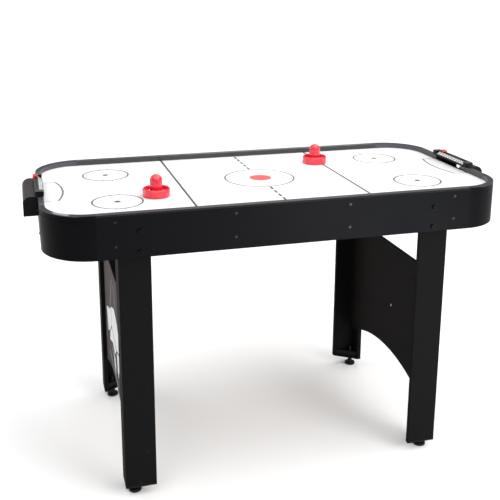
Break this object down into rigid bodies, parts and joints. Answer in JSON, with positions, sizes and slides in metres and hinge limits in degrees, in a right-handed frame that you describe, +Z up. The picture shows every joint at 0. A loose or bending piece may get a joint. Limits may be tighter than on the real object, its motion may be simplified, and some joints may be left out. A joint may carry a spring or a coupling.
{
  "type": "air hockey table",
  "caption": "Free-standing air hockey table with rounded moulded corners, a blown playing field, end goals with sliding scorers, board legs with arched end panels, pushers and a puck.",
  "frame": {"origin": "on the floor under the middle of the table", "axes": "+X along the table's length, +Y across it away from the front, +Z up"},
  "size_m": [1.294, 0.611, 0.8095],
  "materials": {
    "field_laminate": "glossy white printed film on fibreboard",
    "raw_fibreboard": "raw fibreboard",
    "timber": "sawn softwood",
    "apron_laminate": "black laminate with a fine woven pattern",
    "corner_moulding": "black moulded plastic, satin",
    "rim_moulding": "dark grey moulded plastic, satin",
    "goal_moulding": "black moulded plastic, satin",
    "scorer_moulding": "black moulded plastic",
    "scale_white": "white strip with black dividers",
    "slider_red": "red moulded plastic",
    "leg_laminate": "matt black laminate",
    "foot_plastic": "black moulded plastic",
    "leveller_black": "black plastic pad, blackened stem",
    "panel_print": "dark laminate with a printed outer face",
    "black_steel": "blackened steel",
    "zinc_steel": "zinc plated",
    "guard_wire": "black coated wire",
    "fan_plastic": "black glass-filled plastic",
    "motor_windings": "laminated stator with enamelled copper windings",
    "socket_plastic": "black moulded plastic",
    "rocker_plastic": "red rocker",
    "lead_jacket": "black cable jacket",
    "pusher_red": "gloss red moulded plastic",
    "felt": "dark grey felt",
    "puck_white": "white moulded plastic"
  },
  "bodies": {
    "table": {"apron_screws": "black_steel", "base_board": "raw_fibreboard", "dc_inlet": "socket_plastic", "end_rails": "rim_moulding", "fan_bearings": "zinc_steel", "fan_frame": "fan_plastic", "fan_guard": "guard_wire", "fan_lead": "lead_jacket", "fan_screws": "zinc_steel", "fan_stator": "motor_windings", "field_supports": "timber", "foot_caps": "foot_plastic", "front_apron": "apron_laminate", "front_left_corner": "corner_moulding", "front_left_leg_face": "leg_laminate", "front_left_leg_side": "leg_laminate", "front_rail": "rim_moulding", "front_right_corner": "corner_moulding", "front_right_leg_face": "leg_laminate", "front_right_leg_side": "leg_laminate", "goal_box_screws": "black_steel", "left_end_apron": "apron_laminate", "left_end_panel": "panel_print", "left_goal_box": "goal_moulding", "left_scale": "scale_white", "left_scorer": "scorer_moulding", "leg_bolts": "black_steel", "leg_corner_blocks": "timber", "leg_nuts": "zinc_steel", "panel_screws": "black_steel", "playing_field": "field_laminate", "power_plate": "socket_plastic", "rear_apron": "apron_laminate", "rear_left_corner": "corner_moulding", "rear_left_leg_face": "leg_laminate", "rear_left_leg_side": "leg_laminate", "rear_rail": "rim_moulding", "rear_right_corner": "corner_moulding", "rear_right_leg_face": "leg_laminate", "rear_right_leg_side": "leg_laminate", "right_end_apron": "apron_laminate", "right_end_panel": "panel_print", "right_goal_box": "goal_moulding", "right_scale": "scale_white", "right_scorer": "scorer_moulding", "switch_body": "socket_plastic"},
    "impeller": {"impeller": "fan_plastic", "impeller_shaft": "zinc_steel"},
    "rocker": {"switch_rocker": "rocker_plastic"},
    "left_slider": {"left_score_slider": "slider_red"},
    "right_slider": {"right_score_slider": "slider_red"},
    "left_pusher": {"left_pusher": "pusher_red", "left_pusher_felt": "felt"},
    "right_pusher": {"right_pusher": "pusher_red", "right_pusher_felt": "felt"},
    "puck": {"puck": "puck_white"},
    "front_left_leveller": {"front_left_leveller": "leveller_black"},
    "front_right_leveller": {"front_right_leveller": "leveller_black"},
    "rear_left_leveller": {"rear_left_leveller": "leveller_black"},
    "rear_right_leveller": {"rear_right_leveller": "leveller_black"}
  },
  "joints": [
    {"name": "impeller_spin", "type": "hinge", "parent": "table", "child": "impeller", "pos_m": [0, 0, 0.7], "axis": [0, 0, 1], "continuous": true},
    {"name": "power_switch", "type": "hinge", "parent": "table", "child": "rocker", "pos_m": [0.215, 0.2965, 0.715], "axis": [0, 0, 1], "range_deg": [0, 16]},
    {"name": "left_score", "type": "slide", "parent": "table", "child": "left_slider", "axis": [0, 1, 0], "range_m": [-0.131, 0.007]},
    {"name": "right_score", "type": "slide", "parent": "table", "child": "right_slider", "axis": [0, 1, 0], "range_m": [-0.131, 0.007]},
    {"name": "left_pusher_glide", "type": "slide", "parent": "table", "child": "left_pusher", "axis": [1, 0, 0], "range_m": [-0.235, 0.27]},
    {"name": "right_pusher_glide", "type": "slide", "parent": "table", "child": "right_pusher", "axis": [1, 0, 0], "range_m": [-0.174, 0.331]},
    {"name": "puck_travel", "type": "slide", "parent": "table", "child": "puck", "axis": [0, 1, 0], "range_m": [-0.012, 0.112]},
    {"name": "front_left_levelling", "type": "slide", "parent": "table", "child": "front_left_leveller", "axis": [0, 0, -1], "range_m": [0, 0.015]},
    {"name": "front_right_levelling", "type": "slide", "parent": "table", "child": "front_right_leveller", "axis": [0, 0, -1], "range_m": [0, 0.015]},
    {"name": "rear_left_levelling", "type": "slide", "parent": "table", "child": "rear_left_leveller", "axis": [0, 0, -1], "range_m": [0, 0.015]},
    {"name": "rear_right_levelling", "type": "slide", "parent": "table", "child": "rear_right_leveller", "axis": [0, 0, -1], "range_m": [0, 0.015]}
  ]
}
